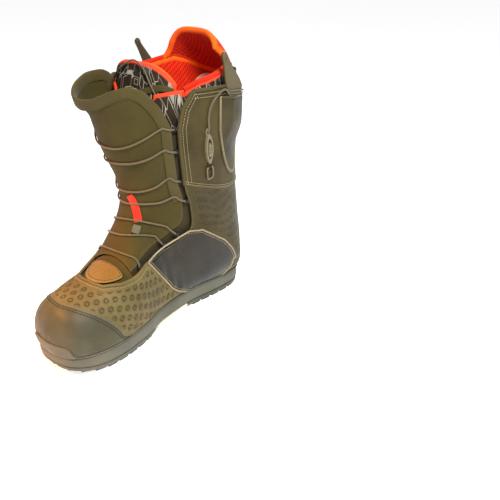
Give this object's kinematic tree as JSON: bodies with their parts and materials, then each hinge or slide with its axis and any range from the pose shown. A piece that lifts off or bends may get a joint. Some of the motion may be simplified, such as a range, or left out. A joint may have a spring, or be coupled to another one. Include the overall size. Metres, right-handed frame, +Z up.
{
  "type": "snowboard boot",
  "caption": "Right-foot snowboard boot: layered leather shell on a rubber sole, removable padded liner, two-zone lacing with side pull handles and cam locks.",
  "frame": {"origin": "middle of the boot's footprint box, on the ground under the sole", "axes": "+Z up along the shaft, -Y towards the toe, +X towards the medial side of a right foot"},
  "size_m": [0.148, 0.3185, 0.3504],
  "materials": {
    "shell_leather": "semi-gloss pebbled synthetic leather",
    "toe_leather": "fine-grained synthetic leather",
    "smooth_leather": "smooth coated leather, slightly glossy",
    "dimpled_leather": "leather with staggered round dimples",
    "tongue_fabric": "dense woven textile",
    "sole_rubber": "matt moulded rubber",
    "midsole_foam": "matt moulded foam rubber",
    "arch_plastic": "matt moulded plastic",
    "lace_cord": "braided cord",
    "webbing": "woven webbing",
    "handle_plastic": "satin moulded plastic",
    "lock_plastic": "satin moulded plastic",
    "red_ribbon": "woven ribbon",
    "tip_rubber": "matt moulded rubber",
    "liner_mesh": "brushed knitted mesh",
    "liner_fabric": "woven fabric with printed lines",
    "pad_foam": "soft brushed lining over foam",
    "binding_tape": "folded binding tape",
    "board": "pressed fibre board"
  },
  "bodies": {
    "root": {"arch_plate": "arch_plastic", "back_strap": "smooth_leather", "footbed": "liner_fabric", "heel_hold_pad": "pad_foam", "heel_pull_loop": "webbing", "heel_quarter": "dimpled_leather", "lasting_board": "board", "lateral_cuff": "shell_leather", "lateral_cuff_binding": "binding_tape", "lateral_guide_1": "webbing", "lateral_guide_2": "webbing", "lateral_guide_3": "webbing", "lateral_guide_4": "webbing", "lateral_guide_5": "webbing", "lateral_guide_6": "webbing", "lateral_guide_7": "webbing", "lateral_handle_pocket": "smooth_leather", "lateral_lead_cord": "lace_cord", "lateral_lock_body": "lock_plastic", "lateral_side_panel": "smooth_leather", "liner_back_flap": "liner_mesh", "liner_boot": "liner_mesh", "lower_lace": "lace_cord", "medial_cuff": "shell_leather", "medial_cuff_binding": "binding_tape", "medial_guide_1": "webbing", "medial_guide_2": "webbing", "medial_guide_3": "webbing", "medial_guide_4": "webbing", "medial_guide_5": "webbing", "medial_guide_6": "webbing", "medial_guide_7": "webbing", "medial_handle_pocket": "smooth_leather", "medial_lead_cord": "lace_cord", "medial_lock_body": "lock_plastic", "medial_side_panel": "smooth_leather", "midsole": "midsole_foam", "outsole_forefoot": "sole_rubber", "outsole_heel": "sole_rubber", "toe_bumper": "sole_rubber", "toe_cap": "toe_leather", "tongue_patch": "tongue_fabric", "upper_lace": "lace_cord", "vamp": "dimpled_leather"},
    "tongue": {"shell_tongue": "tongue_fabric", "tongue_binding": "binding_tape", "tab_ribbon": "red_ribbon"},
    "liner_tongue": {"liner_tongue": "liner_fabric", "liner_lace": "lace_cord", "liner_lace_lock": "lock_plastic"},
    "lock_button": {"liner_lock_button": "lock_plastic"},
    "tab_tip": {"tab_tip": "tip_rubber"},
    "medial_handle": {"medial_pull_handle": "handle_plastic"},
    "medial_cam": {"medial_lock_cam": "lock_plastic"},
    "medial_ring": {"medial_lock_ring": "lock_plastic"},
    "lateral_handle": {"lateral_pull_handle": "handle_plastic"},
    "lateral_cam": {"lateral_lock_cam": "lock_plastic"},
    "lateral_ring": {"lateral_lock_ring": "lock_plastic"}
  },
  "joints": [
    {"name": "tongue_open", "type": "hinge", "parent": "root", "child": "tongue", "pos_m": [0, -0.055, 0.096], "axis": [1, 0, 0], "range_deg": [0, 16], "deforming": ["upper_lace", "lower_lace"]},
    {"name": "liner_tongue_open", "type": "hinge", "parent": "root", "child": "liner_tongue", "pos_m": [0, -0.046, 0.095], "axis": [1, 0, 0], "range_deg": [0, 16]},
    {"name": "lock_button_press", "type": "slide", "parent": "liner_tongue", "child": "lock_button", "axis": [0, 0.9727, -0.2321], "range_m": [0, 0.002], "stiffness_N_per_m": 400, "springref_m": -0.001},
    {"name": "tab_tip_flip", "type": "hinge", "parent": "tongue", "child": "tab_tip", "pos_m": [0.01517, -0.02225, 0.13842], "axis": [-0.6716, -0.6501, 0.3554], "range_deg": [0, 80]},
    {"name": "medial_handle_pull", "type": "slide", "parent": "root", "child": "medial_handle", "axis": [0, 0, 1], "range_m": [0, 0.06], "deforming": ["medial_lead_cord"]},
    {"name": "medial_cam_release", "type": "hinge", "parent": "root", "child": "medial_cam", "pos_m": [0.06265, 0.05249, 0.216], "axis": [0.018, 0.9952, 0.096], "range_deg": [0, 12], "stiffness_Nm_per_rad": 0.02, "springref_deg": -17.19},
    {"name": "medial_ring_lift", "type": "hinge", "parent": "root", "child": "medial_ring", "pos_m": [0.06236, 0.05438, 0.20051], "axis": [-0.0389, -0.988, -0.1492], "range_deg": [0, 85]},
    {"name": "lateral_handle_pull", "type": "slide", "parent": "root", "child": "lateral_handle", "axis": [0, 0, 1], "range_m": [0, 0.06], "deforming": ["lateral_lead_cord"]},
    {"name": "lateral_cam_release", "type": "hinge", "parent": "root", "child": "lateral_cam", "pos_m": [-0.06264, 0.05249, 0.216], "axis": [0.0186, -0.9952, -0.0959], "range_deg": [0, 12], "stiffness_Nm_per_rad": 0.02, "springref_deg": -17.19},
    {"name": "lateral_ring_lift", "type": "hinge", "parent": "root", "child": "lateral_ring", "pos_m": [-0.06226, 0.05438, 0.20053], "axis": [-0.0349, 0.9881, 0.1497], "range_deg": [0, 85]}
  ],
  "couplings": [
    {"joint": "liner_tongue_open", "follows": "tongue_open", "ratio": 1}
  ]
}
